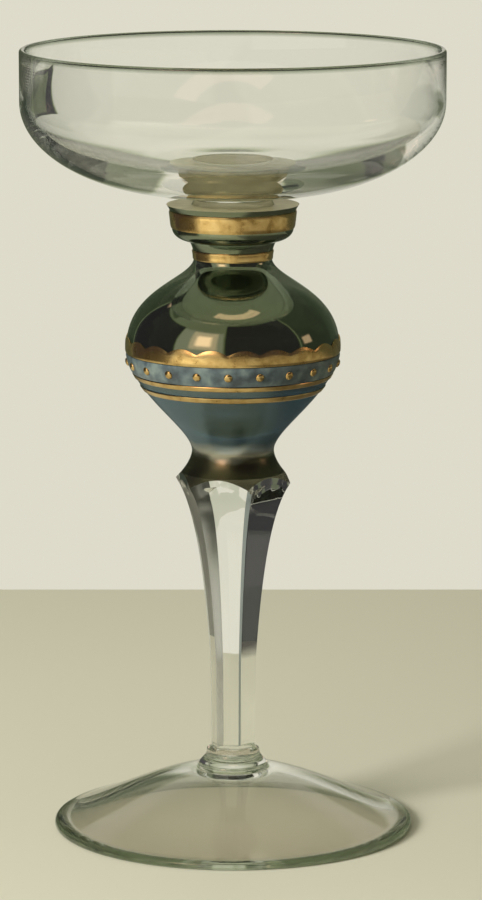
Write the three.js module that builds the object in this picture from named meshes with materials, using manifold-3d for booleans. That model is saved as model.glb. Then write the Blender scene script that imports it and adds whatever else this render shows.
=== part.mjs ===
// A cocktail glass of clear crystal: a shallow bowl on a collar, a hollow green knop with gilt bands
// and an enamelled frieze, a six-sided cut stem and a conical foot.
// Millimetres, +Z up. The origin is the centre of the ring that the foot stands on.
import * as THREE from 'three';
import { mergeVertices } from 'three/addons/utils/BufferGeometryUtils.js';
import Module from 'manifold-3d';

const wasm = await Module();
wasm.setup();

// Foot
const footRadius = 40.35;
const footHeight = 13.4;
const footEdgeThickness = 1.9;
const footWall = 2.3;
const footSeatRadius = 8.2;
const footRingWidth = 2.4;

// Collar between the foot and the stem
const footCollarHeight = 4.2;
const footCollarRadius = 7.8;
const footCollarTopRadius = 5.9;

// Stem: a round blank with six facets cut along it
const stemLength = 63.6;
const stemFacets = 6;
const stemFacetTurn = 14.2;
const stemLipRadius = 13.3;
const stemTaperHeight = 41.0;
const stemWaistRadius = 5.3;
const stemFootRadius = 5.05;
const lipBelowWaist = 6.9;
const coveSharpness = 1.7;

// Collar between the stem and the knop
const lowerCollarHeight = 4.8;

// Knop: a blown bulb that is open at its neck
const waistRadius = 9.15;
const bellyAboveWaist = 23.5;
const bellyRadius = 23.7;
const neckAboveBelly = 19.9;
const neckRadius = 8.64;
const mouthAboveNeck = 3.8;
const mouthRadius = 9.7;
const knopWall = 2.0;
const knopFloor = 6.0;

// Collar under the bowl, and the button that joins them
const upperCollarHeight = 8.0;
const upperCollarFloorHeight = 2.8;
const upperCollarRadius = 13.5;
const upperCollarLipRadius = 14.7;
const upperCollarLipHeight = 1.2;
const upperCollarLean = 0.45;
const buttonHeight = 2.3;
const buttonRadius = 9.2;
const buttonHollow = 0.5;

// Bowl
const bowlHeight = 32.1;
const bowlRadius = 47.0;
const bowlShoulderHeight = 20.5;
const bowlFlatRadius = 10.0;
const bowlRimThickness = 1.3;
const bowlFloorThickness = 3.0;

// Gilding and enamel: heights from the belly line, the neck line or the collar's underside
const coatThickness = 0.25;
const coatClearance = 0.03;
const collarBandBottom = 2.9;
const collarBandTop = 6.7;
const neckRingBelowNeck = 0.3;
const neckRingHeight = 2.0;
const bellyBandBelowBelly = 1.2;
const bellyBandHeight = 2.6;
const scallopHeight = 1.1;
const friezeHeight = 4.3;
const coatGap = 0.15;
const upperLineHeight = 1.1;
const lineSpacing = 2.8;
const lowerLineHeight = 1.2;
const friezeDots = 21;
const friezeDotTurn = -2.5;
const friezeDotRadius = 0.95;
const friezeDotHeight = 0.5;
const friezeDotClearance = 0.08;

// Fineness of the round forms
const turns = 40;
const curveSteps = 8;
const scallopSteps = 4;

// Heights of the joints, from the table upwards
const footTop = footHeight;
const stemBottom = footTop + footCollarHeight;
const stemTop = stemBottom + stemLength;
const waist = stemTop + lowerCollarHeight;
const belly = waist + bellyAboveWaist;
const neck = belly + neckAboveBelly;
const mouth = neck + mouthAboveNeck;
const collarTop = mouth + upperCollarHeight;
const bowlBottom = collarTop + buttonHeight;
const rim = bowlBottom + bowlHeight;

// Heights of the painted bands
const bellyBandFoot = belly - bellyBandBelowBelly;
const bellyBandTop = bellyBandFoot + bellyBandHeight;
const friezeTop = bellyBandFoot - coatGap;
const friezeFoot = friezeTop - friezeHeight;
const upperLineTop = friezeFoot - coatGap;
const upperLineFoot = upperLineTop - upperLineHeight;
const lowerLineTop = upperLineTop - lineSpacing;
const lowerLineFoot = lowerLineTop - lowerLineHeight;
const neckRingFoot = neck - neckRingBelowNeck;
const neckRingTop = neckRingFoot + neckRingHeight;

const crystal = new THREE.MeshStandardMaterial({ color: '#dde2da', roughness: 0.04, metalness: 0 });
const greenGlass = new THREE.MeshStandardMaterial({ color: '#4d5a48', roughness: 0.06, metalness: 0 });
const gilding = new THREE.MeshStandardMaterial({ color: '#cfa55a', roughness: 0.3, metalness: 1 });
const enamel = new THREE.MeshStandardMaterial({ color: '#757e83', roughness: 0.4, metalness: 0 });

const point = (radius, height) => new THREE.Vector2(radius, height);

// Points along a cubic curve that starts at a and ends at d, with b and c pulling on it.
function curve(a, b, c, d, steps = curveSteps) {
  return new THREE.CubicBezierCurve(a, b, c, d).getPoints(steps);
}

// A curve that leaves one height and reaches another upright, as a blown neck flows into a bulb.
function swell(from, to, leave, arrive) {
  const height = to.y - from.y;
  return new THREE.CubicBezierCurve(
    from,
    point(from.x, from.y + leave * height),
    point(to.x, to.y - arrive * height),
    to,
  );
}

// The radius of an upright curve at a height, found by halving.
function radiusOn(path, height) {
  let low = 0;
  let high = 1;
  for (let i = 0; i < 40; i += 1) {
    const middle = (low + high) / 2;
    if (path.getPoint(middle).y < height) low = middle;
    else high = middle;
  }
  return path.getPoint(low).x;
}

// A round solid from its half outline, which runs anticlockwise: up the outside, down the inside.
function turned(outline, segments = turns) {
  return new THREE.LatheGeometry(outline, segments).rotateX(Math.PI / 2);
}

// A closed mesh as a solid that can be cut, and back.
function toSolid(geometry) {
  const bare = geometry.clone();
  bare.deleteAttribute('normal');
  bare.deleteAttribute('uv');
  const merged = mergeVertices(bare, 1e-5);
  const index = Array.from(merged.index.array);
  const corners = [];
  for (let i = 0; i < index.length; i += 3) {
    const [a, b, c] = index.slice(i, i + 3);
    if (a !== b && b !== c && c !== a) corners.push(a, b, c);
  }
  return new wasm.Manifold(new wasm.Mesh({
    numProp: 3,
    vertProperties: merged.attributes.position.array,
    triVerts: new Uint32Array(corners),
  }));
}

function toGeometry(solid) {
  const mesh = solid.getMesh();
  const geometry = new THREE.BufferGeometry();
  geometry.setAttribute('position', new THREE.BufferAttribute(mesh.vertProperties, 3));
  geometry.setIndex(new THREE.BufferAttribute(mesh.triVerts, 1));
  geometry.computeVertexNormals();
  return geometry;
}

// Foot: a thin cone of even thickness that stands on its outer ring, hollow underneath.
function footGeometry() {
  const edge = footEdgeThickness / 2;
  const outer = footRadius - edge;
  const ringInner = outer - footRingWidth;
  const reach = outer - footSeatRadius;
  const fall = footTop - footEdgeThickness;
  const ceiling = footTop - footWall;
  const underside = curve(
    point(footSeatRadius, ceiling),
    point(outer - reach * 0.66 - footWall * 0.13, ceiling - fall * 0.16),
    point(outer - reach * 0.32 - footWall * 0.35, ceiling - fall * 0.72),
    point(ringInner, 0),
  );
  const rounding = [-60, -30, 0, 30, 60].map((degrees) => {
    const angle = THREE.MathUtils.degToRad(degrees);
    return point(outer + edge * Math.cos(angle), edge + edge * Math.sin(angle));
  });
  const topSide = curve(
    point(outer, footEdgeThickness),
    point(outer - reach * 0.32, footTop - fall * 0.72),
    point(outer - reach * 0.66, footTop - fall * 0.16),
    point(footSeatRadius, footTop),
  );
  return turned([
    point(0, ceiling), ...underside, point(outer, 0), ...rounding, ...topSide, point(0, footTop),
  ]);
}

// Foot collar: the spread end of the stem, a low round disc on the foot.
function footCollarGeometry() {
  const side = curve(
    point(footCollarRadius, footTop),
    point(footCollarRadius * 1.06, footTop + footCollarHeight * 0.4),
    point(footCollarTopRadius, footTop + footCollarHeight * 0.45),
    point(footCollarTopRadius, stemBottom),
    5,
  );
  return turned([point(0, footTop), ...side, point(0, stemBottom)]);
}

// The hollow flare that runs from the knop's waist down to the stem's lip.
function coveRadius(height) {
  const share = (waist - height) / lipBelowWaist;
  return waistRadius + (stemLipRadius - waistRadius) * share ** coveSharpness;
}

function covePoints(low, high, steps) {
  return Array.from({ length: steps + 1 }, (_, i) => {
    const height = low + ((high - low) * i) / steps;
    return point(coveRadius(height), height);
  });
}

// Stem: the facets meet the round flare in arches under the collar.
function stemGeometry() {
  const lip = waist - lipBelowWaist;
  const taperEnd = lip - stemTaperHeight;
  const taper = curve(
    point(stemWaistRadius, taperEnd),
    point(stemWaistRadius * 1.21, taperEnd + stemTaperHeight * 0.39),
    point(stemLipRadius * 0.625, lip - stemTaperHeight * 0.17),
    point(stemLipRadius, lip),
    10,
  );
  const faceted = turned([
    point(0, stemBottom),
    point(stemFootRadius, stemBottom),
    ...taper,
    point(stemLipRadius, stemTop),
    point(0, stemTop),
  ], stemFacets).rotateZ(THREE.MathUtils.degToRad(stemFacetTurn));
  const blank = turned([
    point(0, stemBottom),
    point(stemLipRadius, stemBottom),
    ...covePoints(lip, stemTop, 4),
    point(0, stemTop),
  ]);
  return toGeometry(toSolid(faceted).intersect(toSolid(blank)));
}

// Lower collar: the upper part of the flare, on which the knop sits.
function lowerCollarGeometry() {
  return turned([point(0, stemTop), ...covePoints(stemTop, waist, 4), point(0, waist)]);
}

// Outside of the knop, from its waist over the belly and the neck to its mouth.
const coneSide = swell(point(waistRadius, waist), point(bellyRadius, belly), 0.222, 0.426);
const shoulderSide = swell(point(bellyRadius, belly), point(neckRadius, neck), 0.65, 0.25);

function knopRadius(height) {
  if (height <= belly) return radiusOn(coneSide, height);
  if (height <= neck) return radiusOn(shoulderSide, height);
  return neckRadius + (mouthRadius - neckRadius) * ((height - neck) / mouthAboveNeck) ** 1.9;
}

// The knop's outline has a corner at the edge of each band, so that the bands lie on it evenly.
const bandEdges = [
  lowerLineFoot, lowerLineTop, upperLineFoot, upperLineTop, friezeFoot, friezeTop,
  bellyBandFoot, bellyBandTop, neckRingFoot, neckRingTop,
];
const knopHeights = [
  ...coneSide.getPoints(curveSteps).map((p) => p.y),
  ...shoulderSide.getPoints(curveSteps + 2).map((p) => p.y),
  neck + mouthAboveNeck / 2,
  mouth,
];

function knopStations(low, high) {
  const nearBand = (height) => bandEdges.some((edge) => Math.abs(edge - height) < 0.4);
  const free = knopHeights.filter((height) => !nearBand(height));
  return [...free, ...bandEdges, waist, mouth]
    .filter((height) => height >= low && height <= high)
    .sort((a, b) => a - b)
    .filter((height, i, all) => i === 0 || height - all[i - 1] > 1e-6);
}

// Knop: a blown bulb with a hollow that opens at its mouth.
function knopGeometry() {
  const outside = knopStations(waist, mouth).map((height) => point(knopRadius(height), height));
  const bore = neckRadius - knopWall;
  const hollowRadius = bellyRadius - knopWall;
  const hollowFloor = waist + knopFloor;
  const hollowDepth = belly - hollowFloor;
  const shoulderInside = swell(
    point(hollowRadius, belly),
    point(bore, neck - knopWall),
    0.65,
    0.22,
  ).getPoints(curveSteps).reverse();
  const floorInside = curve(
    point(hollowRadius, belly),
    point(hollowRadius, belly - hollowDepth * 0.48),
    point(hollowRadius * 0.37, hollowFloor),
    point(0, hollowFloor),
  );
  return turned([
    point(0, waist),
    ...outside,
    point(bore, mouth),
    ...shoulderInside,
    ...floorInside.slice(1),
  ]);
}

// A coat of gilding or enamel that lies on a round surface between two heights.
// The coat stands off the flats of the glass by its clearance.
function coatOutline(radiusAt, heights, segments) {
  const standOff = 1 / Math.cos(Math.PI / segments);
  const inner = heights.map((height) => point(radiusAt(height) * standOff + coatClearance, height));
  const outer = inner.map((p) => point(p.x + coatThickness, p.y));
  return [...outer, ...inner.reverse(), outer[0].clone()];
}

function knopCoat(low, high) {
  return turned(coatOutline(knopRadius, knopStations(low, high), turns));
}

// Belly band: its upper edge rises in a row of scallops, one between each two frieze dots.
function bellyBandGeometry() {
  const segments = friezeDots * scallopSteps;
  const heights = knopStations(bellyBandFoot, bellyBandTop);
  const geometry = turned(coatOutline(knopRadius, heights, segments), segments);
  const position = geometry.attributes.position;
  for (let i = 0; i < position.count; i += 1) {
    const height = position.getZ(i);
    if (height < bellyBandTop - 1e-3) continue;
    const angle = Math.atan2(position.getX(i), -position.getY(i));
    const rise = scallopHeight * Math.abs(Math.sin((angle * friezeDots) / 2));
    const shrink = knopRadius(height + rise) / knopRadius(height);
    position.setXYZ(i, position.getX(i) * shrink, position.getY(i) * shrink, height + rise);
  }
  return geometry.rotateZ(THREE.MathUtils.degToRad(friezeDotTurn));
}

// Upper collar: a small cup with a sharp lip; its side leans out a little.
const collarSideFoot = mouth + upperCollarFloorHeight;
const collarSideTop = collarTop - upperCollarLipHeight;

function collarRadius(height) {
  const share = (height - collarSideFoot) / (collarSideTop - collarSideFoot);
  return upperCollarRadius + upperCollarLean * share;
}

function upperCollarGeometry() {
  const underside = curve(
    point(mouthRadius, mouth),
    point(mouthRadius + (upperCollarRadius - mouthRadius) * 0.55, mouth),
    point(upperCollarRadius, mouth + upperCollarFloorHeight * 0.45),
    point(upperCollarRadius, collarSideFoot),
    4,
  );
  return turned([
    point(0, mouth),
    ...underside,
    point(collarRadius(collarSideTop), collarSideTop),
    point(upperCollarLipRadius, collarTop),
    point(0, collarTop),
  ]);
}

function collarBandGeometry() {
  const heights = [mouth + collarBandBottom, mouth + collarBandTop];
  return turned(coatOutline(collarRadius, heights, turns));
}

// Bowl button: a short drawn-in stub between the collar and the bowl.
function buttonGeometry() {
  return turned([
    point(0, collarTop),
    point(buttonRadius, collarTop),
    point(buttonRadius - buttonHollow, collarTop + buttonHeight / 2),
    point(buttonRadius, bowlBottom),
    point(0, bowlBottom),
  ]);
}

// A quarter of an ellipse from its lowest point out to its side.
function quarterEllipse(centreRadius, centreHeight, reach, drop) {
  return Array.from({ length: curveSteps + 3 }, (_, i) => {
    const angle = (Math.PI / 2) * (i / (curveSteps + 2));
    return point(centreRadius + reach * Math.sin(angle), centreHeight - drop * Math.cos(angle));
  });
}

// Bowl: a flat middle, a broad shoulder and an upright wall with a rounded rim.
function bowlGeometry() {
  const shoulder = bowlBottom + bowlShoulderHeight;
  const halfRim = bowlRimThickness / 2;
  const reach = bowlRadius - bowlFlatRadius;
  const outside = quarterEllipse(bowlFlatRadius, shoulder, reach, bowlShoulderHeight);
  const inside = quarterEllipse(
    bowlFlatRadius,
    shoulder,
    reach - bowlRimThickness,
    bowlShoulderHeight - bowlFloorThickness,
  );
  const rounding = [0, 45, 90, 135, 180].map((degrees) => {
    const angle = THREE.MathUtils.degToRad(degrees);
    return point(bowlRadius - halfRim + halfRim * Math.cos(angle),
      rim - halfRim + halfRim * Math.sin(angle));
  });
  return turned([
    point(0, bowlBottom),
    ...outside,
    ...rounding,
    ...inside.reverse(),
    point(0, bowlBottom + bowlFloorThickness),
  ]);
}

// Frieze dot: a low bead of raised gold, flat where it lies on the enamel.
function friezeDotGeometry() {
  const dome = [0, 35, 65, 90].map((degrees) => {
    const angle = THREE.MathUtils.degToRad(degrees);
    return point(friezeDotRadius * Math.cos(angle), friezeDotHeight * Math.sin(angle));
  });
  return turned([point(0, 0), ...dome], 10);
}

function addPiece(group, name, geometry, material) {
  const mesh = new THREE.Mesh(geometry, material);
  mesh.name = name;
  group.add(mesh);
  return mesh;
}

// Each dot stands on the enamel's slope, square to it.
function addFriezeDots(group) {
  const height = (friezeTop + friezeFoot) / 2;
  const slope = Math.atan2(
    knopRadius(height + 0.5) - knopRadius(height - 0.5),
    1,
  );
  const seat = (knopRadius(height)) / Math.cos(Math.PI / turns) + coatClearance + coatThickness;
  for (let i = 0; i < friezeDots; i += 1) {
    const turn = THREE.MathUtils.degToRad(friezeDotTurn + (360 * i) / friezeDots);
    const name = `frieze_dot_${String(i + 1).padStart(2, '0')}`;
    const dot = addPiece(group, name, friezeDotGeometry(), gilding);
    const outward = new THREE.Vector3(
      Math.sin(turn) * Math.cos(slope),
      -Math.cos(turn) * Math.cos(slope),
      -Math.sin(slope),
    );
    dot.quaternion.setFromUnitVectors(new THREE.Vector3(0, 0, 1), outward);
    dot.position.set(Math.sin(turn) * seat, -Math.cos(turn) * seat, height);
    dot.position.addScaledVector(outward, friezeDotClearance);
  }
}

const glass = new THREE.Group();
addPiece(glass, 'foot', footGeometry(), crystal);
addPiece(glass, 'foot_collar', footCollarGeometry(), crystal);
addPiece(glass, 'stem', stemGeometry(), crystal);
addPiece(glass, 'lower_collar', lowerCollarGeometry(), greenGlass);
addPiece(glass, 'knop', knopGeometry(), greenGlass);
addPiece(glass, 'gilt_line_lower', knopCoat(lowerLineFoot, lowerLineTop), gilding);
addPiece(glass, 'gilt_line_upper', knopCoat(upperLineFoot, upperLineTop), gilding);
addPiece(glass, 'frieze_enamel', knopCoat(friezeFoot, friezeTop), enamel);
addFriezeDots(glass);
addPiece(glass, 'belly_gilt_band', bellyBandGeometry(), gilding);
addPiece(glass, 'neck_gilt_ring', knopCoat(neckRingFoot, neckRingTop), gilding);
addPiece(glass, 'upper_collar', upperCollarGeometry(), greenGlass);
addPiece(glass, 'collar_gilt_band', collarBandGeometry(), gilding);
addPiece(glass, 'bowl_button', buttonGeometry(), crystal);
addPiece(glass, 'bowl', bowlGeometry(), crystal);

export default glass;
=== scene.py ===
"""A stemmed cocktail glass: clear blown bowl and foot, cut stem, green knop with gilding and enamel."""
import math
from functools import partial

import bmesh
import bpy
from mathutils import Matrix, Vector
from mathutils.geometry import interpolate_bezier


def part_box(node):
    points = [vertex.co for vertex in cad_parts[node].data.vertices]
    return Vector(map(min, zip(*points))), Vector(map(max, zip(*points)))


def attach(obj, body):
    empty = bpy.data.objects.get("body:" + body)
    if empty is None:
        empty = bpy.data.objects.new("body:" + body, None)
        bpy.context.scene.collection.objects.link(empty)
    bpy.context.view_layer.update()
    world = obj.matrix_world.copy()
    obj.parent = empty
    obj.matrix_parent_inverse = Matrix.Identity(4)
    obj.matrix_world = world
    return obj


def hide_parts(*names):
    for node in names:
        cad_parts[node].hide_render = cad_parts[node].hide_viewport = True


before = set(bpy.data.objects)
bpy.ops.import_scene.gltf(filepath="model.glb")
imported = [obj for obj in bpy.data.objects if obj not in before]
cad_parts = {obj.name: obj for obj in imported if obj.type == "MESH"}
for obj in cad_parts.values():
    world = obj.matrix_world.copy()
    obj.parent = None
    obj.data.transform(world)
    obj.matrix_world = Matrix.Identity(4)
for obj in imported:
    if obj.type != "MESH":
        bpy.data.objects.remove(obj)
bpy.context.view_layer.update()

MM = 0.001
BODY = "root"

# Heights of the fused joints and outer radii, read from the frame
FOOT_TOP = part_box("foot")[1].z
FOOT_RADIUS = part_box("foot")[1].x
STEM_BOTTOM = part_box("stem")[0].z
STEM_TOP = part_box("stem")[1].z
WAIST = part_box("knop")[0].z
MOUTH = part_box("knop")[1].z
COLLAR_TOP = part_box("upper_collar")[1].z
BOWL_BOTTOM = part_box("bowl")[0].z
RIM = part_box("bowl")[1].z
BOWL_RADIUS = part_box("bowl")[1].x
BELLY_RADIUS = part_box("knop")[1].x
COLLAR_LIP_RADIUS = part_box("upper_collar")[1].x
BUTTON_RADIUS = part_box("bowl_button")[1].x
FOOT_COLLAR_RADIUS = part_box("foot_collar")[1].x

# Foot
FOOT_EDGE = 1.9 * MM
FOOT_WALL = 2.3 * MM
FOOT_SEAT_RADIUS = 8.2 * MM
FOOT_RING_WIDTH = 2.4 * MM
# How the cone is pulled near its edge and near its seat, as shares of its reach and of its fall
FOOT_LOW_PULL = (0.32, 0.72)
FOOT_HIGH_PULL = (0.66, 0.16)
# How far the underside leans in at those two places, as shares of the wall, to keep the wall even
UNDERSIDE_LEAN = (0.35, 0.13)
FOOT_COLLAR_TOP_RADIUS = 5.9 * MM
# The foot collar swells before it turns upright; its pulls are shares of its height
FOOT_COLLAR_SWELL = 1.06
FOOT_COLLAR_PULL = (0.4, 0.45)

# Stem and the flare above it
FACETS = 6
FACET_TURN = math.radians(14.2)
LIP_RADIUS = 13.3 * MM
TAPER_HEIGHT = 41.0 * MM
TAPER_WAIST_RADIUS = 5.3 * MM
STEM_FOOT_RADIUS = 5.05 * MM
# How the taper is pulled near its waist and near the lip, as shares of their radii and of its height
TAPER_LOW_PULL = (1.21, 0.39)
TAPER_HIGH_PULL = (0.625, 0.17)
LIP_BELOW_WAIST = 6.9 * MM
# How sharply the flare spreads to the lip, a power of the share of its height
COVE_SHARPNESS = 1.7
# Azimuths, in degrees from the side of -Y, between which the satin facet lies
BACK_FACET = (-165.8, -105.8)

# Knop
WAIST_RADIUS = 9.15 * MM
NECK_RADIUS = 8.64 * MM
MOUTH_RADIUS = 9.7 * MM
BELLY = WAIST + 23.5 * MM
NECK = BELLY + 19.9 * MM
KNOP_WALL = 2.0 * MM
KNOP_FLOOR = 6.0 * MM
# How long each curve of the knop stays upright where it leaves and where it arrives, as shares of its
# height
CONE_PULL = (0.222, 0.426)
SHOULDER_PULL = (0.65, 0.25)
HOLLOW_PULL = (0.65, 0.22)
# How the hollow's floor is pulled, as shares of its depth and of its radius
HOLLOW_FLOOR_PULL = (0.48, 0.37)
# How sharply the neck spreads to the mouth, a power of the share of its height
NECK_SHARPNESS = 1.9

# Collar under the bowl, and the button
COLLAR_FLOOR = 2.8 * MM
COLLAR_RADIUS = 13.5 * MM
COLLAR_LIP_HEIGHT = 1.2 * MM
COLLAR_LEAN = 0.45 * MM
# How its underside is pulled, as shares of the step from the mouth and of its height
COLLAR_PULL = (0.55, 0.45)
BUTTON_HOLLOW = 0.5 * MM

# Bowl
SHOULDER_HEIGHT = 20.5 * MM
BOWL_FLAT_RADIUS = 10.0 * MM
RIM_THICKNESS = 1.3 * MM
BOWL_FLOOR = 3.0 * MM

# Gilding and enamel
COAT = 0.25 * MM
COAT_GAP = 0.03 * MM
# Share of a coat's thickness that is left at its edges
COAT_EDGE = 0.55
SCALLOP_HEIGHT = 1.1 * MM
DOTS = 21
DOT_TURN = math.radians(-2.5)
DOT_RADIUS = 0.95 * MM
DOT_HEIGHT = 0.5 * MM

# Room between two joint faces, so that a ray meets both
JOINT_GAP = 0.02 * MM
# Points and heights nearer than this are the same
TOUCHING = 1e-7

# Glass: how strongly it bends light, and the lustre's film, its thickness in nanometres
CRYSTAL_IOR = 1.53
GREEN_GLASS_IOR = 1.52
LUSTRE_IOR = 2.3
LUSTRE_FILM = 68.0
# How far the clouds shift the green glass's colours up and down
CLOUDINESS = 0.16
# Facing values between which a wall turns from seen flat to seen edge-on
EDGE_ON = (0.72, 0.97)

# Fineness
TURNS = 168
BOWL_TURNS = 240
TURNS_PER_SCALLOP = 16
STEPS = 24
FINE_STEPS = 60
BOUNCES = 64


def curve(a, b, c, d, steps=STEPS):
    """Points (radius, height) along a cubic curve from a to d, pulled by b and c."""
    flat = [Vector((p[0], p[1], 0.0)) for p in (a, b, c, d)]
    return [(p.x, p.y) for p in interpolate_bezier(*flat, steps + 1)]


def arc(centre, reach, start, end, steps=8):
    """Points of an elliptical arc, angles in degrees from the outward direction."""
    angles = [math.radians(start + (end - start) * i / steps) for i in range(steps + 1)]
    return [(centre[0] + reach[0] * math.cos(a), centre[1] + reach[1] * math.sin(a)) for a in angles]


def swell(a, d, leave, arrive, steps=STEPS):
    """A curve that leaves a and reaches d upright, as a blown neck flows into a bulb."""
    height = d[1] - a[1]
    return curve(a, (a[0], a[1] + leave * height), (d[0], d[1] - arrive * height), d, steps)


def radius_on(points, height):
    """Radius of an outline at a height, between its points."""
    rising = sorted(points, key=lambda p: p[1])
    for low, high in zip(rising, rising[1:]):
        if height <= high[1]:
            share = (height - low[1]) / max(high[1] - low[1], 1e-12)
            return low[0] + (high[0] - low[0]) * share
    return rising[-1][0]


def keep_mesh(name, bm, materials, sharp_degrees=35):
    """Turns a bmesh into a smooth-shaded piece with crisp corners that rides on the glass."""
    for face in bm.faces:
        face.smooth = True
    for edge in bm.edges:
        if len(edge.link_faces) == 2:
            edge.smooth = edge.calc_face_angle(0.0) < math.radians(sharp_degrees)
    mesh = bpy.data.meshes.new(name)
    bm.to_mesh(mesh)
    bm.free()
    for material in materials:
        mesh.materials.append(material)
    piece = bpy.data.objects.new(name, mesh)
    bpy.context.scene.collection.objects.link(piece)
    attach(piece, BODY)
    return piece


def spun(outline, turns=TURNS, closed=False):
    """Spins a half outline once round the glass's axis and closes its seam and poles."""
    bm = bmesh.new()
    points = [bm.verts.new((radius, 0.0, height)) for radius, height in outline]
    edges = [bm.edges.new(pair) for pair in zip(points, points[1:])]
    if closed:
        edges.append(bm.edges.new((points[-1], points[0])))
    bmesh.ops.spin(
        bm, geom=points + edges, cent=(0, 0, 0), axis=(0, 0, 1), dvec=(0, 0, 0),
        angle=math.tau, steps=turns, use_merge=True, use_normal_flip=False, use_duplicate=False,
    )
    bmesh.ops.remove_doubles(bm, verts=bm.verts, dist=TOUCHING)
    bmesh.ops.recalc_face_normals(bm, faces=bm.faces)
    return bm


def mark_joints(bm, *heights):
    """Gives the second material to the flat faces where a piece is fused to its neighbour."""
    for face in bm.faces:
        if any(all(abs(v.co.z - height) < TOUCHING for v in face.verts) for height in heights):
            face.material_index = 1


def linear(colour):
    """An sRGB hex colour as linear red, green, blue and alpha."""
    parts = [int(colour[i:i + 2], 16) / 255 for i in (1, 3, 5)]
    return tuple(c / 12.92 if c <= 0.04045 else ((c + 0.055) / 1.055) ** 2.4 for c in parts) + (1.0,)


def add_node(tree, kind, settings=None, **links):
    """Adds a node, sets its values or colour stops and its inputs by name or index, and links sockets."""
    node = tree.nodes.new(kind)
    for name, value in (settings or {}).items():
        if name == "stops":
            elements = node.color_ramp.elements
            while len(elements) < len(value):
                elements.new(0.5)
            for element, (position, colour) in zip(elements, value):
                element.position = position
                element.color = linear(colour)
        else:
            setattr(node, name, value)
    for name, value in links.items():
        key = int(name[1:]) if name[0] == "i" and name[1:].isdigit() else name.replace("_", " ")
        socket = node.inputs[key]
        if isinstance(value, bpy.types.NodeSocket):
            tree.links.new(value, socket)
        else:
            socket.default_value = value
    return node


def new_material(name):
    """A material with an empty node tree and its output."""
    material = bpy.data.materials.new(name)
    material.use_nodes = True
    tree = material.node_tree
    tree.nodes.clear()
    return material, tree, tree.nodes.new("ShaderNodeOutputMaterial")


def taken_together(tree, operation, *shares):
    """Takes shares together: MULTIPLY where all hold at once, MAXIMUM for the strongest, ADD for lights."""
    result = shares[0]
    for other in shares[1:]:
        result = add_node(tree, "ShaderNodeMath", {"operation": operation}, i0=result, i1=other).outputs[0]
    return result


# Clear crystal: lead glass, blown and fire-polished. A faint drag of the surface, in waves 14 mm long,
# bends what is seen through it. The rim, the edge of the foot and every wall seen edge-on are coloured
# darker and greener: the green is the glass's own along the long path through them, and the darkening
# is painted shade.
def blown_crystal(name, edge_tint_and_shade, edge_on_tint_and_shade, edge_low, edge_high, along_radius):
    material, tree, output = new_material(name)
    place = add_node(tree, "ShaderNodeTexCoord").outputs["Object"]
    if along_radius:
        flat = add_node(
            tree, "ShaderNodeVectorMath", {"operation": "MULTIPLY"}, i0=place, i1=(1.0, 1.0, 0.0),
        )
        length = add_node(tree, "ShaderNodeVectorMath", {"operation": "LENGTH"}, i0=flat.outputs[0])
        measure = length.outputs["Value"]
    else:
        measure = add_node(tree, "ShaderNodeSeparateXYZ", None, Vector=place).outputs["Z"]
    share = add_node(
        tree, "ShaderNodeMapRange", None, Value=measure, From_Min=edge_low, From_Max=edge_high,
    )
    # Darker and greener towards the rim or the foot's edge: the glass's own green and painted shade
    tint = add_node(
        tree, "ShaderNodeValToRGB", {"stops": [(0.0, "#fdfefc"), (1.0, edge_tint_and_shade)]}, Fac=share.outputs[0],
    )
    # Darker and greener again where a wall is seen edge-on: painted shade, with the glass's own green
    facing = add_node(tree, "ShaderNodeLayerWeight", None, Blend=0.5)
    edge_on = add_node(
        tree, "ShaderNodeMapRange", None, Value=facing.outputs["Facing"],
        From_Min=EDGE_ON[0], From_Max=EDGE_ON[1],
    )
    colour = add_node(
        tree, "ShaderNodeMix", {"data_type": "RGBA"}, i0=edge_on.outputs[0], i6=tint.outputs["Color"],
        i7=linear(edge_on_tint_and_shade),
    )
    stretch = add_node(tree, "ShaderNodeMapping", None, Vector=place, Scale=(1.0, 1.0, 0.5))
    drag = add_node(
        tree, "ShaderNodeTexNoise", None, Vector=stretch.outputs[0], Scale=1 / (14 * MM), Detail=1.0,
    )
    bump = add_node(
        tree, "ShaderNodeBump", None, Strength=0.5, Distance=0.015 * MM, Height=drag.outputs["Fac"],
    )
    shader = add_node(
        tree, "ShaderNodeBsdfPrincipled", None, Base_Color=colour.outputs[2], Roughness=0.0,
        IOR=CRYSTAL_IOR, Transmission_Weight=1.0, Normal=bump.outputs[0],
    )
    tree.links.new(shader.outputs[0], output.inputs["Surface"])
    return material


# Cut crystal: ground on a wheel and polished, so its facets are flat, with a ripple every 9 mm or so.
# A facet that left the polishing wheel early is satin: it blurs what is seen in it; its grey is painted
# shade.
def cut_crystal(name, roughness, colour):
    material, tree, output = new_material(name)
    place = add_node(tree, "ShaderNodeTexCoord").outputs["Object"]
    ripple = add_node(tree, "ShaderNodeTexNoise", None, Vector=place, Scale=1 / (9 * MM), Detail=1.0)
    bump = add_node(
        tree, "ShaderNodeBump", None, Strength=0.4, Distance=0.03 * MM, Height=ripple.outputs["Fac"],
    )
    shader = add_node(
        tree, "ShaderNodeBsdfPrincipled", None, Base_Color=linear(colour), Roughness=roughness,
        IOR=CRYSTAL_IOR, Transmission_Weight=1.0, Normal=bump.outputs[0],
    )
    tree.links.new(shader.outputs[0], output.inputs["Surface"])
    return material
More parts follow.
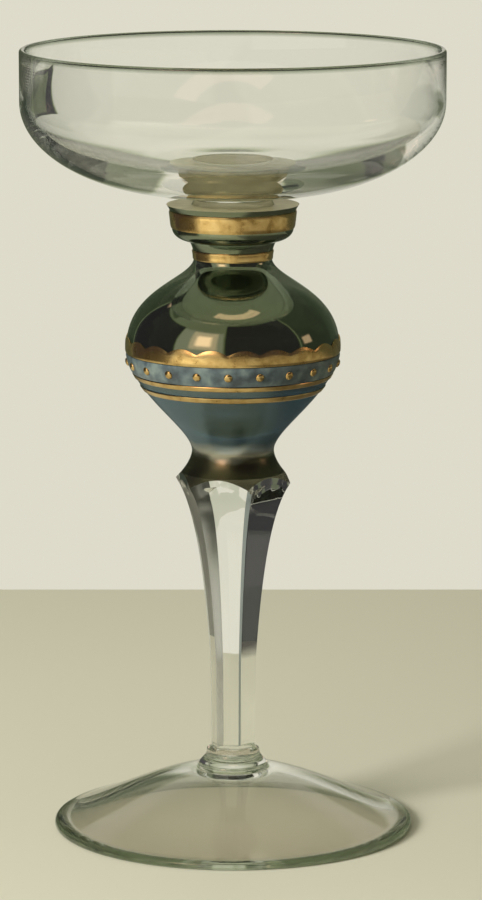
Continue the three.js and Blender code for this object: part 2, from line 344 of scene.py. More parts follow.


# Green glass: coloured in the pot and blown, with clouds about 8 mm across. It is brown at the stem's
# lip, blue over the cone and olive over the shoulder; the pale band at the waist, in the glass and in
# its lustre, is a painted highlight. The outside carries a fired lustre, a film far thinner than paint
# that makes the glass reflect like dark water. Under the belly the fire left it satin, and above the
# belly it is glossy.
def green_glass(name, film_thickness):
    material, tree, output = new_material(name)
    place = add_node(tree, "ShaderNodeTexCoord").outputs["Object"]
    height = add_node(tree, "ShaderNodeSeparateXYZ", None, Vector=place).outputs["Z"]
    share = add_node(
        tree, "ShaderNodeMapRange", None, Value=height, From_Min=WAIST - LIP_BELOW_WAIST, From_Max=BELLY,
    )
    cloud = add_node(tree, "ShaderNodeTexNoise", None, Vector=place, Scale=1 / (8 * MM), Detail=3.0)
    clouded = add_node(
        tree, "ShaderNodeMath", {"operation": "MULTIPLY_ADD"}, i0=cloud.outputs["Fac"], i1=CLOUDINESS,
        i2=share.outputs[0],
    ).outputs[0]
    # Pale glass and white lustre near 0.3 paint a highlight round the waist
    glass_stops_with_painted_highlight = [
        (0.12, "#17160e"), (0.22, "#33301f"), (0.265, "#33301f"), (0.305, "#b4b7c4"), (0.34, "#7f96a0"),
        (0.4, "#35597a"), (0.82, "#4a7494"), (1.0, "#565f4f"),
    ]
    lustre_stops_with_painted_highlight = [
        (0.27, "#4a4538"), (0.31, "#ffffff"), (0.34, "#ffffff"), (0.4, "#79a8d2"), (0.8, "#79a8d2"),
        (0.98, "#bcd6c6"),
    ]
    colour = add_node(tree, "ShaderNodeValToRGB", {"stops": glass_stops_with_painted_highlight}, Fac=clouded)
    lustre = add_node(tree, "ShaderNodeValToRGB", {"stops": lustre_stops_with_painted_highlight}, Fac=clouded)
    gloss = add_node(
        tree, "ShaderNodeMapRange", None, Value=clouded, From_Min=0.86, From_Max=0.96,
        To_Min=0.26, To_Max=0.05,
    )
    bump = add_node(
        tree, "ShaderNodeBump", None, Strength=0.4, Distance=0.05 * MM, Height=cloud.outputs["Fac"],
    )
    shader = add_node(
        tree, "ShaderNodeBsdfPrincipled", None, Base_Color=colour.outputs["Color"],
        Roughness=gloss.outputs[0], IOR=GREEN_GLASS_IOR, Transmission_Weight=1.0,
        Thin_Film_Thickness=film_thickness, Thin_Film_IOR=LUSTRE_IOR,
        Specular_Tint=lustre.outputs["Color"], Normal=bump.outputs[0],
    )
    tree.links.new(shader.outputs[0], output.inputs["Surface"])
    return material


# Fused joint: where two gathers melted into one there is no surface left to see.
def fused_joint():
    material, tree, output = new_material("fused_joint")
    shader = add_node(tree, "ShaderNodeBsdfPrincipled", None, Base_Color=linear("#ffffff"), Alpha=0.0)
    tree.links.new(shader.outputs[0], output.inputs["Surface"])
    return material


# The same joint between clear and green glass: light that crosses it is lost in the deep green.
def fused_green_joint():
    material, tree, output = new_material("fused_green_joint")
    shader = add_node(tree, "ShaderNodeBsdfTransparent", None, Color=linear("#59604c"))
    tree.links.new(shader.outputs[0], output.inputs["Surface"])
    return material


# The collar's top: green glass dulled by the fire, a satin olive in clouds 4 mm across that shows
# through the button and the bowl.
def dulled_green_glass():
    material, tree, output = new_material("dulled_green_glass")
    place = add_node(tree, "ShaderNodeTexCoord").outputs["Object"]
    cloud = add_node(tree, "ShaderNodeTexNoise", None, Vector=place, Scale=1 / (4 * MM), Detail=3.0)
    stops = [(0.35, "#b5ae82"), (0.65, "#cbc599")]
    colour = add_node(tree, "ShaderNodeValToRGB", {"stops": stops}, Fac=cloud.outputs["Fac"])
    shader = add_node(
        tree, "ShaderNodeBsdfPrincipled", None, Base_Color=colour.outputs["Color"], Roughness=0.4,
        IOR=GREEN_GLASS_IOR,
    )
    tree.links.new(shader.outputs[0], output.inputs["Surface"])
    return material


# Gilding: gold fired on in a paste and burnished. It is thin and brown in patches 2.5 mm across, and
# less smooth there.
def burnished_gilding():
    material, tree, output = new_material("burnished_gilding")
    place = add_node(tree, "ShaderNodeTexCoord").outputs["Object"]
    wear = add_node(
        tree, "ShaderNodeTexNoise", None, Vector=place, Scale=1 / (2.5 * MM), Detail=6.0, Roughness=0.6,
    ).outputs["Fac"]
    stops = [(0.3, "#a98a55"), (0.45, "#cfae74"), (0.6, "#dcbd84"), (0.8, "#e6cb96")]
    colour = add_node(tree, "ShaderNodeValToRGB", {"stops": stops}, Fac=wear)
    rough = add_node(
        tree, "ShaderNodeMapRange", None, Value=wear, From_Min=0.3, From_Max=0.7, To_Min=0.3, To_Max=0.16,
    )
    bump = add_node(tree, "ShaderNodeBump", None, Strength=0.6, Distance=0.06 * MM, Height=wear)
    shader = add_node(
        tree, "ShaderNodeBsdfPrincipled", None, Base_Color=colour.outputs["Color"], Metallic=1.0,
        Roughness=rough.outputs[0], Normal=bump.outputs[0],
    )
    tree.links.new(shader.outputs[0], output.inputs["Surface"])
    return material


# Enamel: ground glass colour painted on and fired, blue-grey and clouded by the brush every 3 mm.
def fired_enamel():
    material, tree, output = new_material("fired_enamel")
    place = add_node(tree, "ShaderNodeTexCoord").outputs["Object"]
    brush = add_node(
        tree, "ShaderNodeTexNoise", None, Vector=place, Scale=1 / (3 * MM), Detail=4.0,
    ).outputs["Fac"]
    stops = [(0.3, "#30393d"), (0.5, "#4a5659"), (0.7, "#68746f")]
    colour = add_node(tree, "ShaderNodeValToRGB", {"stops": stops}, Fac=brush)
    bump = add_node(tree, "ShaderNodeBump", None, Strength=0.5, Distance=0.08 * MM, Height=brush)
    shader = add_node(
        tree, "ShaderNodeBsdfPrincipled", None, Base_Color=colour.outputs["Color"], Roughness=0.38,
        Coat_Weight=0.3, Coat_Roughness=0.15, Normal=bump.outputs[0],
    )
    tree.links.new(shader.outputs[0], output.inputs["Surface"])
    return material


BOWL_CRYSTAL = blown_crystal(
    "blown_crystal_bowl", edge_tint_and_shade="#a9b3a2", edge_on_tint_and_shade="#7d9189",
    edge_low=RIM - 1.5 * MM, edge_high=RIM - 0.7 * MM, along_radius=False,
)
FOOT_CRYSTAL = blown_crystal(
    "blown_crystal_foot", edge_tint_and_shade="#93a184", edge_on_tint_and_shade="#76876c",
    edge_low=FOOT_RADIUS - 2.6 * MM, edge_high=FOOT_RADIUS - 0.6 * MM, along_radius=True,
)
CUT = cut_crystal("cut_polished_crystal", roughness=0.0, colour="#fdfefc")
# The satin facet's grey is painted shade over what the stem shows through that facet
CUT_SATIN_SHADED = cut_crystal("cut_satin_shaded_crystal", roughness=0.3, colour="#77858a")
GREEN = green_glass("lustred_green_glass", LUSTRE_FILM)
GREEN_INSIDE = green_glass("blown_green_glass", 0.0)
FUSED = fused_joint()
FUSED_GREEN = fused_green_joint()
DULLED = dulled_green_glass()
GOLD = burnished_gilding()
ENAMEL = fired_enamel()


def make_foot():
    """The conical foot, an even wall that is hollow underneath, on its ground ring."""
    edge = FOOT_EDGE / 2
    outer = FOOT_RADIUS - edge
    ring_inner = outer - FOOT_RING_WIDTH
    reach = outer - FOOT_SEAT_RADIUS
    fall = FOOT_TOP - FOOT_EDGE
    ceiling = FOOT_TOP - FOOT_WALL
    low, low_fall = outer - reach * FOOT_LOW_PULL[0], fall * FOOT_LOW_PULL[1]
    high, high_fall = outer - reach * FOOT_HIGH_PULL[0], fall * FOOT_HIGH_PULL[1]
    underside = [(0, ceiling)] + curve(
        (FOOT_SEAT_RADIUS, ceiling), (high - FOOT_WALL * UNDERSIDE_LEAN[1], ceiling - high_fall),
        (low - FOOT_WALL * UNDERSIDE_LEAN[0], ceiling - low_fall), (ring_inner, 0),
    )
    top = curve(
        (outer, FOOT_EDGE), (low, FOOT_TOP - low_fall), (high, FOOT_TOP - high_fall),
        (FOOT_SEAT_RADIUS, FOOT_TOP),
    )
    rounding = arc((outer, edge), (edge, edge), -90, 90)
    bm = spun(underside + rounding + top[1:] + [(0, FOOT_TOP)])
    mark_joints(bm, FOOT_TOP)
    piece = keep_mesh("blown_foot", bm, (FOOT_CRYSTAL, FUSED))
    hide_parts("foot")


def make_foot_collar():
    """The spread end of the stem on the foot."""
    rise = STEM_BOTTOM - FOOT_TOP
    side = curve(
        (FOOT_COLLAR_RADIUS, FOOT_TOP),
        (FOOT_COLLAR_RADIUS * FOOT_COLLAR_SWELL, FOOT_TOP + rise * FOOT_COLLAR_PULL[0]),
        (FOOT_COLLAR_TOP_RADIUS, FOOT_TOP + rise * FOOT_COLLAR_PULL[1]),
        (FOOT_COLLAR_TOP_RADIUS, STEM_BOTTOM), steps=12,
    )
    bm = spun([(0, FOOT_TOP)] + side + [(0, STEM_BOTTOM)])
    mark_joints(bm, FOOT_TOP, STEM_BOTTOM)
    piece = keep_mesh("spread_foot_collar", bm, (FOOT_CRYSTAL, FUSED), sharp_degrees=50)
    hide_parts("foot_collar")


def cove_radius(height):
    """The flare that runs from the knop's waist down to the stem's lip."""
    share = (WAIST - height) / LIP_BELOW_WAIST
    return WAIST_RADIUS + (LIP_RADIUS - WAIST_RADIUS) * share ** COVE_SHARPNESS


def make_stem():
    """The cut stem: flat facets below, a round flare above, meeting in arches."""
    lip = WAIST - LIP_BELOW_WAIST
    taper_end = lip - TAPER_HEIGHT
    taper = curve(
        (TAPER_WAIST_RADIUS, taper_end),
        (TAPER_WAIST_RADIUS * TAPER_LOW_PULL[0], taper_end + TAPER_HEIGHT * TAPER_LOW_PULL[1]),
        (LIP_RADIUS * TAPER_HIGH_PULL[0], lip - TAPER_HEIGHT * TAPER_HIGH_PULL[1]),
        (LIP_RADIUS, lip), steps=40,
    )
    ridge_line = [(STEM_FOOT_RADIUS, STEM_BOTTOM)] + taper
    columns_per_facet = 12
    facet_rows = 44
    flare_rows = 8
    flare, satin = 2, 3
    half_facet = math.pi / FACETS
    cos_half = math.cos(half_facet)
    rows = [(LIP_RADIUS, i) for i in range(facet_rows + flare_rows + 1)]
    bm = spun(rows, FACETS * columns_per_facet)

    for face in bm.faces:
        if min(v.co.z for v in face.verts) > facet_rows - 0.5:
            face.material_index = flare

    def arch_height(stretch):
        """Height at which a facet runs out of the flare, for a given widening from its middle."""
        radius = LIP_RADIUS * cos_half * stretch
        share = max((radius - WAIST_RADIUS) / (LIP_RADIUS - WAIST_RADIUS), 0.0) ** (1 / COVE_SHARPNESS)
        return WAIST - LIP_BELOW_WAIST * min(share, 1.0)

    for vert in bm.verts:
        row = round(vert.co.z)
        angle = math.atan2(vert.co.y, vert.co.x)
        turn = (angle + half_facet) % (2 * half_facet) - half_facet
        stretch = 1 / math.cos(turn)
        arch = arch_height(stretch)
        if row <= facet_rows:
            height = STEM_BOTTOM + (arch - STEM_BOTTOM) * row / facet_rows
            radius = radius_on(ridge_line, min(height, lip)) * cos_half * stretch
            if height > lip:
                radius = LIP_RADIUS * cos_half * stretch
        else:
            height = arch + (STEM_TOP - arch) * (row - facet_rows) / flare_rows
            radius = cove_radius(height)
        vert.co = (radius * math.cos(angle), radius * math.sin(angle), height)
    for end in (STEM_BOTTOM, STEM_TOP):
        rim_edges = [e for e in bm.edges if e.is_boundary and abs(e.verts[0].co.z - end) < TOUCHING]
        bmesh.ops.contextual_create(bm, geom=rim_edges)
    facing = FACET_TURN - math.pi / 2 + half_facet
    bmesh.ops.rotate(bm, verts=bm.verts, cent=(0, 0, 0), matrix=Matrix.Rotation(facing, 3, "Z"))
    bmesh.ops.recalc_face_normals(bm, faces=bm.faces)
    # The back facet on the left takes the satin crystal, whose grey is painted shade
    for face in bm.faces:
        middle = face.calc_center_median()
        azimuth = math.degrees(math.atan2(middle.x, -middle.y))
        if face.material_index != flare and BACK_FACET[0] < azimuth < BACK_FACET[1]:
            face.material_index = satin
    mark_joints(bm, STEM_BOTTOM, STEM_TOP)
    piece = keep_mesh("cut_stem", bm, (CUT, FUSED, GREEN, CUT_SATIN_SHADED), sharp_degrees=14)
    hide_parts("stem")


def make_lower_collar():
    """The upper part of the flare, under the knop."""
    side = [(cove_radius(z), z) for z in (STEM_TOP + (WAIST - STEM_TOP) * i / 12 for i in range(13))]
    bottom = STEM_TOP + JOINT_GAP
    bm = spun([(0, bottom), (side[0][0], bottom)] + side[1:] + [(0, WAIST)])
    mark_joints(bm, bottom, WAIST)
    piece = keep_mesh("flared_collar", bm, (GREEN, FUSED_GREEN), sharp_degrees=50)
    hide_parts("lower_collar")


CONE_SIDE = swell((WAIST_RADIUS, WAIST), (BELLY_RADIUS, BELLY), *CONE_PULL, FINE_STEPS)
SHOULDER_SIDE = swell((BELLY_RADIUS, BELLY), (NECK_RADIUS, NECK), *SHOULDER_PULL, FINE_STEPS)
NECK_SIDE = [
    (NECK_RADIUS + (MOUTH_RADIUS - NECK_RADIUS) * share ** NECK_SHARPNESS, NECK + (MOUTH - NECK) * share)
    for share in (i / 10 for i in range(11))
]
KNOP_SIDE = CONE_SIDE + SHOULDER_SIDE[1:] + NECK_SIDE[1:]


def knop_radius(height):
    """The knop's outside at a height."""
    return radius_on(KNOP_SIDE, height)


def make_knop():
    """The blown bulb with its hollow, which opens at the mouth under the collar."""
    bore = NECK_RADIUS - KNOP_WALL
    hollow = BELLY_RADIUS - KNOP_WALL
    floor = WAIST + KNOP_FLOOR
    depth = BELLY - floor
    inside = 2
    shoulder_inside = swell((hollow, BELLY), (bore, NECK - KNOP_WALL), *HOLLOW_PULL, steps=40)[::-1]
    floor_inside = curve(
        (hollow, BELLY), (hollow, BELLY - depth * HOLLOW_FLOOR_PULL[0]),
        (hollow * HOLLOW_FLOOR_PULL[1], floor), (0, floor), steps=30,
    )
    bm = spun([(0, WAIST)] + KNOP_SIDE + [(bore, MOUTH)] + shoulder_inside + floor_inside[1:])
    mark_joints(bm, WAIST, MOUTH)
    for face in bm.faces:
        middle = face.calc_center_median()
        within = math.hypot(middle.x, middle.y) < knop_radius(middle.z) - KNOP_WALL / 2
        if within and face.material_index == 0:
            face.material_index = inside
    piece = keep_mesh("blown_knop", bm, (GREEN, FUSED, GREEN_INSIDE), sharp_degrees=50)
    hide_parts("knop")


def collar_radius(height):
    """The collar's side at a height: it leans out a little towards the lip."""
    foot, top = MOUTH + COLLAR_FLOOR, COLLAR_TOP - COLLAR_LIP_HEIGHT
    return COLLAR_RADIUS + COLLAR_LEAN * (height - foot) / (top - foot)


def make_upper_collar():
    """The small green cup with a sharp lip under the bowl."""
    side_foot = MOUTH + COLLAR_FLOOR
    side_top = COLLAR_TOP - COLLAR_LIP_HEIGHT
    dulled = 2
    underside = curve(
        (MOUTH_RADIUS, MOUTH), (MOUTH_RADIUS + (COLLAR_RADIUS - MOUTH_RADIUS) * COLLAR_PULL[0], MOUTH),
        (COLLAR_RADIUS, MOUTH + COLLAR_FLOOR * COLLAR_PULL[1]), (COLLAR_RADIUS, side_foot), steps=12,
    )
    lip = [(collar_radius(side_top), side_top), (COLLAR_LIP_RADIUS, COLLAR_TOP)]
    bm = spun([(0, MOUTH)] + underside + lip + [(BUTTON_RADIUS, COLLAR_TOP), (0, COLLAR_TOP)])
    mark_joints(bm, MOUTH)
    for face in bm.faces:
        if all(abs(v.co.z - COLLAR_TOP) < TOUCHING for v in face.verts):
            face.material_index = dulled
    piece = keep_mesh("cupped_collar", bm, (GREEN, FUSED, DULLED), sharp_degrees=40)
    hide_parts("upper_collar")


def make_button():
    """The clear stub that joins the collar and the bowl."""
    rise = BOWL_BOTTOM - COLLAR_TOP
    side = [
        (BUTTON_RADIUS - BUTTON_HOLLOW * math.sin(math.pi * i / 12), COLLAR_TOP + rise * i / 12)
        for i in range(13)
    ]
    bottom = COLLAR_TOP + JOINT_GAP
    bm = spun([(0, bottom), (side[0][0], bottom)] + side[1:] + [(0, BOWL_BOTTOM)])
    mark_joints(bm, bottom, BOWL_BOTTOM)
    piece = keep_mesh("drawn_button", bm, (BOWL_CRYSTAL, FUSED), sharp_degrees=50)
    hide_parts("bowl_button")


def make_bowl():
    """The blown bowl with its upright wall and fire-polished rim."""
    shoulder = BOWL_BOTTOM + SHOULDER_HEIGHT
    half = RIM_THICKNESS / 2
    reach = BOWL_RADIUS - BOWL_FLAT_RADIUS
    centre = (BOWL_FLAT_RADIUS, shoulder)
    outside = arc(centre, (reach, SHOULDER_HEIGHT), -90, 0, steps=48)
    inside = arc(centre, (reach - RIM_THICKNESS, SHOULDER_HEIGHT - BOWL_FLOOR), 0, -90, steps=48)
    rounding = arc((BOWL_RADIUS - half, RIM - half), (half, half), 0, 180)
    seat = [(0, BOWL_BOTTOM), (BUTTON_RADIUS, BOWL_BOTTOM)]
    bm = spun(seat + outside + rounding + inside + [(0, BOWL_BOTTOM + BOWL_FLOOR)], BOWL_TURNS)
    for face in bm.faces:
        middle = face.calc_center_median()
        if abs(middle.z - BOWL_BOTTOM) < TOUCHING and math.hypot(middle.x, middle.y) < BUTTON_RADIUS:
            face.material_index = 1
    piece = keep_mesh("blown_bowl", bm, (BOWL_CRYSTAL, FUSED))
    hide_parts("bowl")


def coat_outline(radius_at, low, high, steps=8):
    """A thin coat with rounded edges that lies on a round surface between two heights."""
    heights = [low + (high - low) * i / steps for i in range(steps + 1)]
    inner = [(radius_at(z) + COAT_GAP, z) for z in heights]
    outer = [(r + COAT * (COAT_EDGE if i in (0, steps) else 1.0), z) for i, (r, z) in enumerate(inner)]
    return outer + inner[::-1]


def make_coat(name, node, radius_at, material):
    """A fired-on coat in the place of its node."""
    low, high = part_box(node)
    bm = spun(coat_outline(radius_at, low.z, high.z), closed=True)
    piece = keep_mesh(name, bm, (material,))
    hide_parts(node)


def make_belly_band():
    """The widest gilt band, with one scallop between each two dots of the frieze."""
    low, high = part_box("belly_gilt_band")
    foot, top = low.z, high.z - SCALLOP_HEIGHT
    bm = spun(coat_outline(knop_radius, foot, top), DOTS * TURNS_PER_SCALLOP, closed=True)
    band = top - foot
    for vert in bm.verts:
        share = (vert.co.z - foot) / band
        angle = math.atan2(vert.co.x, -vert.co.y) - DOT_TURN
        rise = SCALLOP_HEIGHT * abs(math.sin(angle * DOTS / 2)) * max(share - 0.5, 0.0) * 2
        shrink = knop_radius(vert.co.z + rise) / knop_radius(vert.co.z)
        vert.co = (vert.co.x * shrink, vert.co.y * shrink, vert.co.z + rise)
    piece = keep_mesh("scalloped_gilt_band", bm, (GOLD,))
    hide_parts("belly_gilt_band")


def make_dots():
    """Raised gold dots on the enamel, each a low bead."""
    low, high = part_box("frieze_enamel")
    height = (low.z + high.z) / 2
    slope = math.atan2(knop_radius(height + 0.5 * MM) - knop_radius(height - 0.5 * MM), MM)
    seat = knop_radius(height) + COAT_GAP + COAT
    dome = arc((0, 0), (DOT_RADIUS, DOT_HEIGHT), 0, 90, steps=6)
    for i in range(DOTS):
        turn = DOT_TURN + math.tau * i / DOTS
        across, back = math.sin(turn), -math.cos(turn)
        bm = spun([(0, 0)] + dome, turns=20)
        outward = Vector((across * math.cos(slope), back * math.cos(slope), -math.sin(slope)))
        tilt = outward.to_track_quat("Z", "X").to_matrix().to_4x4()
        place = Matrix.Translation((across * seat, back * seat, height))
        bmesh.ops.transform(bm, matrix=place @ tilt, verts=bm.verts)
        piece = keep_mesh(f"gold_dot_{i + 1:02d}", bm, (GOLD,), sharp_degrees=60)
        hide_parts(f"frieze_dot_{i + 1:02d}")


make_foot()
make_foot_collar()
make_stem()
make_lower_collar()
make_knop()
make_upper_collar()
make_button()
make_bowl()
make_coat("collar_gilding", "collar_gilt_band", collar_radius, GOLD)
make_coat("neck_gilding", "neck_gilt_ring", knop_radius, GOLD)
make_coat("upper_gilt_line", "gilt_line_upper", knop_radius, GOLD)
make_coat("lower_gilt_line", "gilt_line_lower", knop_radius, GOLD)
make_coat("enamel_frieze", "frieze_enamel", knop_radius, ENAMEL)
make_belly_band()
make_dots()

# The photograph's camera, from its fit to the ellipses of the rim and the foot
CAMERA_DISTANCE = 981.9 * MM
CAMERA_HEIGHT = 264.9 * MM
CAMERA_RIGHT = 1.8 * MM
CAMERA_PITCH = math.radians(10.33)
CAMERA_LENS = 178.85

# Table, in metres: from the glass's axis back to the edge where the wall begins, its width, and from the
# axis to its front
TABLE_BACK_EDGE = 252 * MM
TABLE_WIDTH = 8
TABLE_FRONT = 4

# Parts of the room that the glass shows or mirrors. Each has its azimuths and elevations in degrees
# (azimuth 0 is the side of -Y, and a positive one is towards +X), the width of its soft edge, and how
# dark it is, from 0 for the pale wall to 1 for the darkest corner.
SEEN_THROUGH = [
    # Low behind on the left, in the far side of the foot's ring
    ((-174, -166), (-2.5, 4), 1.2, 1.0),
    # Dark corner far down on the left, in the stem's facets and the bowl's shoulder
    ((-168, -66), (-60, -3), 1.0, 1.0),
    # Upper part all round, in the bowl's floor
    ((-200, 200), (38, 100), 8, 0.4),
    # Faint shade straight behind, in the bowl's wall
    ((-181, -176), (2, 22), 4, 0.25),
    # In front on the right, turned round inside the foot's edge and the rim
    ((30, 100), (-16, 14), 4, 0.9),
    # Dark post on the left, in the bowl's left edge
    ((-140, -127), (-30, 45), 2, 0.97),
    # Olive sides of the room, in the edges of the bowl and the foot
    ((-171, -112), (-14, 24), 3, 0.78),
    ((140, 164), (-14, 24), 3, 0.76),
    # Dark corner on the right, in the stem's dark facet
    ((96, 143), (-18, 34), 3, 1.0),
]
# Low part behind that makes the olive crescent in the bowl's floor: how far round it reaches on either
# side and its elevations, each with the width of its soft edge, and how dark it is
CRESCENT_REACH = ((165, 190), 4)
CRESCENT_ELEVATIONS = ((-50, -18), 1.4)
CRESCENT_DARKNESS = 0.9
# Slanted bands on the left that make the dark fold of the bowl's left side: the limits of azimuth plus
# slope times elevation, the width of their soft edge and how dark each is. The last two limit them all.
BAND_SLOPE = 1.22
BANDS = [((-187.7, -185.9), 0.6, 0.9), ((-186.2, -150), 0.6, 0.7)]
BAND_ELEVATIONS = ((-25, -2), 1)
BAND_AZIMUTHS = ((-175.6, -160), 0.6)
# Dark ends of the room, which the glass mirrors and which also light the dull parts less
SEEN_MIRRORED = [
    ((-136, -67), (-35, 44), 4, 0.92),
    ((-175, -136), (-35, 60), 6, 0.8),
    ((-10, 80), (-12, 58), 6, 0.92),
    ((80, 172), (-35, 62), 6, 0.82),
]
# Ceiling, darker than the walls but for a paler part over the window
CEILING = [
    ((-200, -95), (44, 100), 8, 0.74),
    ((10, 200), (56, 100), 8, 0.78),
    ((-100, 14), (72, 100), 6, 0.7),
    ((-100, 14), (42, 74), 6, 0.4),
]
# Bright things that only glossy surfaces mirror, with a strength in place of the darkness: the window
# and its bright middle, and two small lights
BRIGHT_THINGS = [
    ((-50, -18), (10, 41), 5, 0.9),
    ((-43, -25), (16, 34), 6, 2.7),
    ((-134, -128), (41, 46), 3, 1.5),
    ((85, 97), (9, 19), 3, 1.5),
]
CEILING_LIGHT = ((-52, 84), (70, 78), 2, 1.7)


def make_camera():
    """The camera at the photograph's viewing angle."""
    data = bpy.data.cameras.new("camera")
    data.lens = CAMERA_LENS
    data.sensor_width = 36.0
    data.clip_start = 0.01
    camera = bpy.data.objects.new("camera", data)
    camera.location = (CAMERA_RIGHT, -CAMERA_DISTANCE, CAMERA_HEIGHT)
    camera.rotation_euler = (math.pi / 2 - CAMERA_PITCH, 0, 0)
    bpy.context.scene.collection.objects.link(camera)
    bpy.context.scene.camera = camera


def make_table():
    """A pale table, up to the edge where the pale wall begins, with painted shade and a painted pool of
    light that only the glass shows.
    """
    material, tree, output = new_material("pale_table_painted_light_and_shade")
    both, darkest = (partial(taken_together, tree, operation) for operation in ("MULTIPLY", "MAXIMUM"))
    place = add_node(tree, "ShaderNodeTexCoord").outputs["Object"]

    def along(direction, start, end):
        """A share that rises from 0 to 1 between two distances along a direction on the table."""
        distance = add_node(
            tree, "ShaderNodeVectorMath", {"operation": "DOT_PRODUCT"}, i0=place, i1=(*direction, 0),
        )
        return add_node(
            tree, "ShaderNodeMapRange", None, Value=distance.outputs["Value"], From_Min=start, From_Max=end,
        ).outputs[0]

    def around(start, end):
        """A share that rises from 0 to 1 between two distances from the middle of the foot."""
        distance = add_node(tree, "ShaderNodeVectorMath", {"operation": "LENGTH"}, i0=place)
        return add_node(
            tree, "ShaderNodeMapRange", None, Value=distance.outputs["Value"], From_Min=start, From_Max=end,
        ).outputs[0]

    path = add_node(tree, "ShaderNodeLightPath")
    transmitted = path.outputs["Is Transmission Ray"]
    mirrored = both(path.outputs["Is Glossy Ray"], path.outputs["Is Reflection Ray"])
    # Painted shade over the left end, seen only through the bowl's edge and the stem's right facet
    painted_left_shade = both(along((1, 0.3), -0.10, -0.137), transmitted)
    # Painted shadow of the glass beside its foot, seen only mirrored on the right of the cone
    shade = both(along((1, 0), 0.03, 0.07), around(0.4, 0.3), 0.8)
    # Painted shade over the part behind on the left, seen only mirrored on the left of the gilding
    painted_behind_left_shade = both(along((-0.423, 0.906), 0.0, 0.06), around(0.2, 0.3), along((1, 0), 0.0, -0.05), 0.95)
    dark = darkest(painted_left_shade, both(darkest(shade, painted_behind_left_shade), mirrored))
    # Painted pool of light on the table under the foot, standing in for the light the foot gathers there;
    # seen only through the foot
    painted_light_pool = both(around(0.0375, 0.0355), transmitted)
    # faf3dc is the painted pool of light over the table's #d9d6c0
    pale = add_node(
        tree, "ShaderNodeMix", {"data_type": "RGBA"}, i0=painted_light_pool,
        i6=linear("#d9d6c0"), i7=linear("#faf3dc"),
    )
    # The painted shade turns the table to #36342e
    colour = add_node(
        tree, "ShaderNodeMix", {"data_type": "RGBA"}, i0=dark,
        i6=pale.outputs[2], i7=linear("#36342e"),
    )
    shader = add_node(tree, "ShaderNodeBsdfPrincipled", None, Base_Color=colour.outputs[2], Roughness=0.8)
    tree.links.new(shader.outputs[0], output.inputs["Surface"])
    bm = bmesh.new()
    bmesh.ops.create_grid(bm, x_segments=1, y_segments=1, size=0.5)
    bmesh.ops.scale(bm, vec=(TABLE_WIDTH, TABLE_FRONT + TABLE_BACK_EDGE, 1), verts=bm.verts)
    # A hair of air under the ring of the foot, so that the ring's flat underside mirrors as glass does
    bmesh.ops.translate(bm, vec=(0, (TABLE_BACK_EDGE - TABLE_FRONT) / 2, -JOINT_GAP), verts=bm.verts)
    mesh = bpy.data.meshes.new("table")
    bm.to_mesh(mesh)
    bm.free()
    mesh.materials.append(material)
    table = bpy.data.objects.new("table", mesh)
    bpy.context.scene.collection.objects.link(table)


def make_light(name, azimuth, elevation, distance, width, height, power):
    """A soft rectangular lamp aimed at the knop; azimuth 0 is the side of -Y, positive towards +X."""
    data = bpy.data.lights.new(name, "AREA")
    data.shape = "RECTANGLE"
    data.size = width
    data.size_y = height
    data.energy = power
    lamp = bpy.data.objects.new(name, data)
    a, e = math.radians(azimuth), math.radians(elevation)
    away = Vector((math.sin(a) * math.cos(e), -math.cos(a) * math.cos(e), math.sin(e)))
    lamp.location = Vector((0, 0, BELLY)) + away * distance
    lamp.rotation_euler = (-away).to_track_quat("-Z", "Y").to_euler()
    lamp.visible_camera = False
    lamp.visible_glossy = False
    lamp.visible_transmission = False
    bpy.context.scene.collection.objects.link(lamp)


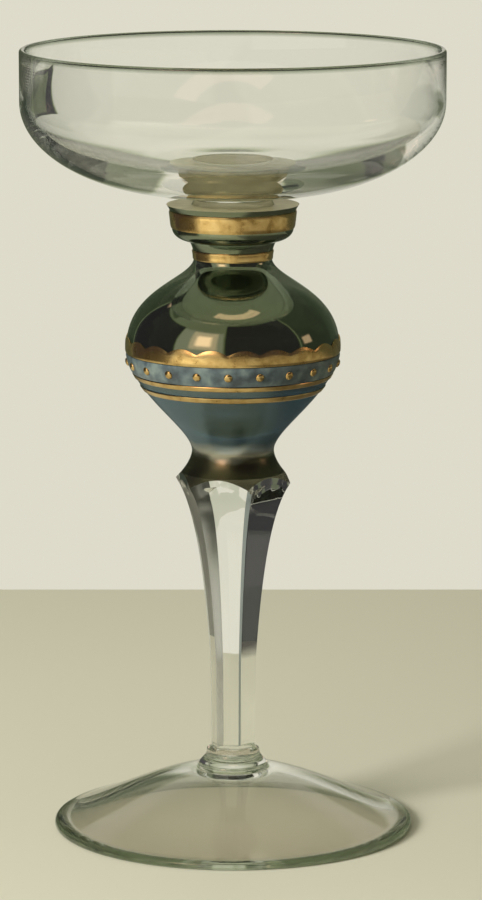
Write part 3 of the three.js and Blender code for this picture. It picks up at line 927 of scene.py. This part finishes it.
def make_world():
    """The pale wall all round for the camera; for the glass, a room with a window and dark corners."""
    world = bpy.data.worlds.new("pale_room")
    world.use_nodes = True
    tree = world.node_tree
    tree.nodes.clear()
    output = tree.nodes.new("ShaderNodeOutputWorld")
    both, darkest, added = (partial(taken_together, tree, way) for way in ("MULTIPLY", "MAXIMUM", "ADD"))

    directions = add_node(tree, "ShaderNodeTexCoord").outputs["Generated"]
    x, y, z = add_node(tree, "ShaderNodeSeparateXYZ", None, Vector=directions).outputs
    turned = add_node(tree, "ShaderNodeMath", {"operation": "ARCTAN2"}, i0=x, i1=both(y, -1.0))
    azimuth = add_node(tree, "ShaderNodeMath", {"operation": "DEGREES"}, i0=turned.outputs[0]).outputs[0]
    raised = add_node(tree, "ShaderNodeMath", {"operation": "ARCSINE"}, i0=z)
    elevation = add_node(tree, "ShaderNodeMath", {"operation": "DEGREES"}, i0=raised.outputs[0]).outputs[0]
    either_side = add_node(tree, "ShaderNodeMath", {"operation": "ABSOLUTE"}, i0=azimuth).outputs[0]
    slant = add_node(
        tree, "ShaderNodeMath", {"operation": "MULTIPLY_ADD"}, i0=elevation, i1=BAND_SLOPE, i2=azimuth,
    ).outputs[0]
    path = add_node(tree, "ShaderNodeLightPath")
    is_camera, is_glossy = path.outputs["Is Camera Ray"], path.outputs["Is Glossy Ray"]
    is_reflected = path.outputs["Is Reflection Ray"]
    before_dull = add_node(
        tree, "ShaderNodeMath", {"operation": "LESS_THAN"}, i0=path.outputs["Diffuse Depth"], i1=0.5,
    ).outputs[0]

    def between(value, limits, soft):
        """1 between two limits and 0 outside them, with a soft edge on either side."""
        edges = [
            add_node(
                tree, "ShaderNodeMapRange", {"interpolation_type": "SMOOTHSTEP"}, Value=value,
                From_Min=limit - inwards * soft / 2, From_Max=limit + inwards * soft / 2,
            ).outputs[0]
            for limit, inwards in zip(limits, (1, -1))
        ]
        return both(*edges)

    def zone(azimuths, elevations, soft, share):
        """One part of the room, as strong as its share."""
        return both(between(azimuth, azimuths, soft), between(elevation, elevations, soft), share)

    # What the glass shows through itself; light that has met a dull surface sees only the pale wall
    crescent = both(
        between(either_side, *CRESCENT_REACH), between(elevation, *CRESCENT_ELEVATIONS), CRESCENT_DARKNESS,
    )
    left_bands = both(
        darkest(*(both(between(slant, limits, soft), share) for limits, soft, share in BANDS)),
        between(elevation, *BAND_ELEVATIONS), between(azimuth, *BAND_AZIMUTHS),
    )
    seen_through = darkest(crescent, left_bands, *(zone(*part) for part in SEEN_THROUGH))
    seen_through = both(seen_through, before_dull)

    # What the glass mirrors and what lights the dull parts; only glossy surfaces see the dark ceiling
    ceiling = both(darkest(*(zone(*part) for part in CEILING)), is_glossy)
    seen_mirrored = darkest(ceiling, *(zone(*part) for part in SEEN_MIRRORED))

    bright = both(added(*(zone(*part) for part in BRIGHT_THINGS)), is_glossy, is_reflected)
    window_light = added(bright, both(zone(*CEILING_LIGHT), is_glossy))

    dark = add_node(tree, "ShaderNodeMix", None, Factor=is_reflected, i2=seen_through, i3=seen_mirrored)
    tones = [(0.0, "#dedbcb"), (0.5, "#a1a686"), (0.8, "#59604c"), (0.92, "#4a454a"), (1.0, "#252a28")]
    tone = add_node(tree, "ShaderNodeValToRGB", {"stops": tones}, Fac=dark.outputs[0])
    room = add_node(tree, "ShaderNodeBackground", None, Color=tone.outputs["Color"], Strength=1.0)
    window = add_node(
        tree, "ShaderNodeBackground", None, Color=linear("#ffcbb2"), Strength=window_light,
    )
    lit_room = add_node(tree, "ShaderNodeAddShader", None, i0=room.outputs[0], i1=window.outputs[0])
    wall = add_node(tree, "ShaderNodeBackground", None, Color=linear("#dedbcb"), Strength=1.0)
    mix = add_node(
        tree, "ShaderNodeMixShader", None, i0=is_camera, i1=lit_room.outputs[0], i2=wall.outputs[0],
    )
    tree.links.new(mix.outputs[0], output.inputs["Surface"])
    bpy.context.scene.world = world


make_camera()
make_table()
make_world()
make_light("window_lamp", azimuth=-48, elevation=20, distance=1.2, width=0.5, height=0.45, power=20)
bpy.context.scene.view_settings.view_transform = "Standard"
bpy.context.scene.cycles.max_bounces = BOUNCES
bpy.context.scene.cycles.transmission_bounces = BOUNCES
bpy.context.scene.cycles.glossy_bounces = BOUNCES
bpy.context.scene.cycles.transparent_max_bounces = BOUNCES
